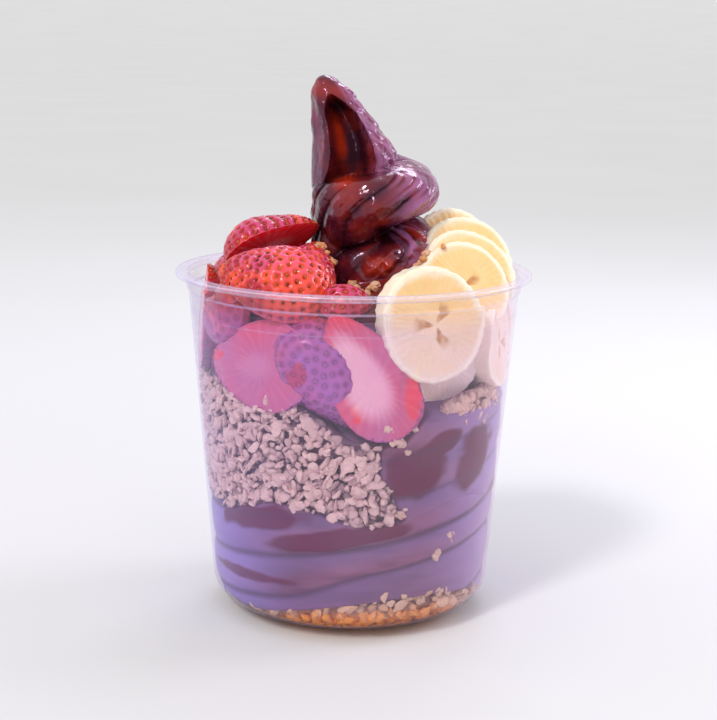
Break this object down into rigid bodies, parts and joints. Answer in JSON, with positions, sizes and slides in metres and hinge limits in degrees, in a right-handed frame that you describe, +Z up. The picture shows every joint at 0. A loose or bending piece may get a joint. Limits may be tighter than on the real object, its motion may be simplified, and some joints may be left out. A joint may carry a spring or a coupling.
{
  "type": "acai soft serve cup",
  "caption": "Clear plastic cup layered with granola and acai soft serve, topped with halved strawberries, banana slices and a tall piped curl.",
  "frame": {"origin": "on the cup's axis, at the surface that its base stands on", "axes": "+Z up; -Y towards the viewer of the picture; +X to that viewer's right"},
  "size_m": [0.1174, 0.1174, 0.1765],
  "materials": {
    "cup": "thin clear plastic, glossy, slightly milky",
    "acai": "wet, glossy soft serve",
    "granola": "dry toasted oat clusters",
    "strawberry": "moist cut fruit",
    "banana": "moist cut fruit"
  },
  "bodies": {
    "root": {"cup": "cup", "acai_lower": "acai", "acai_swirl": "acai", "granola_base": "granola", "granola_middle": "granola", "granola_clump": "granola", "strawberry_front_top": "strawberry", "strawberry_back_top": "strawberry", "strawberry_small_wet": "strawberry", "strawberry_behind_front": "strawberry", "strawberry_half_white": "strawberry", "strawberry_front_skin": "strawberry", "strawberry_left_skin": "strawberry", "strawberry_left_cut": "strawberry", "strawberry_far_left": "strawberry", "strawberry_back_skin": "strawberry", "strawberry_back_cut": "strawberry", "banana_front": "banana", "banana_fan_1": "banana", "banana_fan_2": "banana", "banana_fan_3": "banana", "banana_fan_4": "banana", "banana_low": "banana", "banana_right": "banana", "banana_back_right": "banana", "banana_back": "banana"}
  },
  "joints": []
}
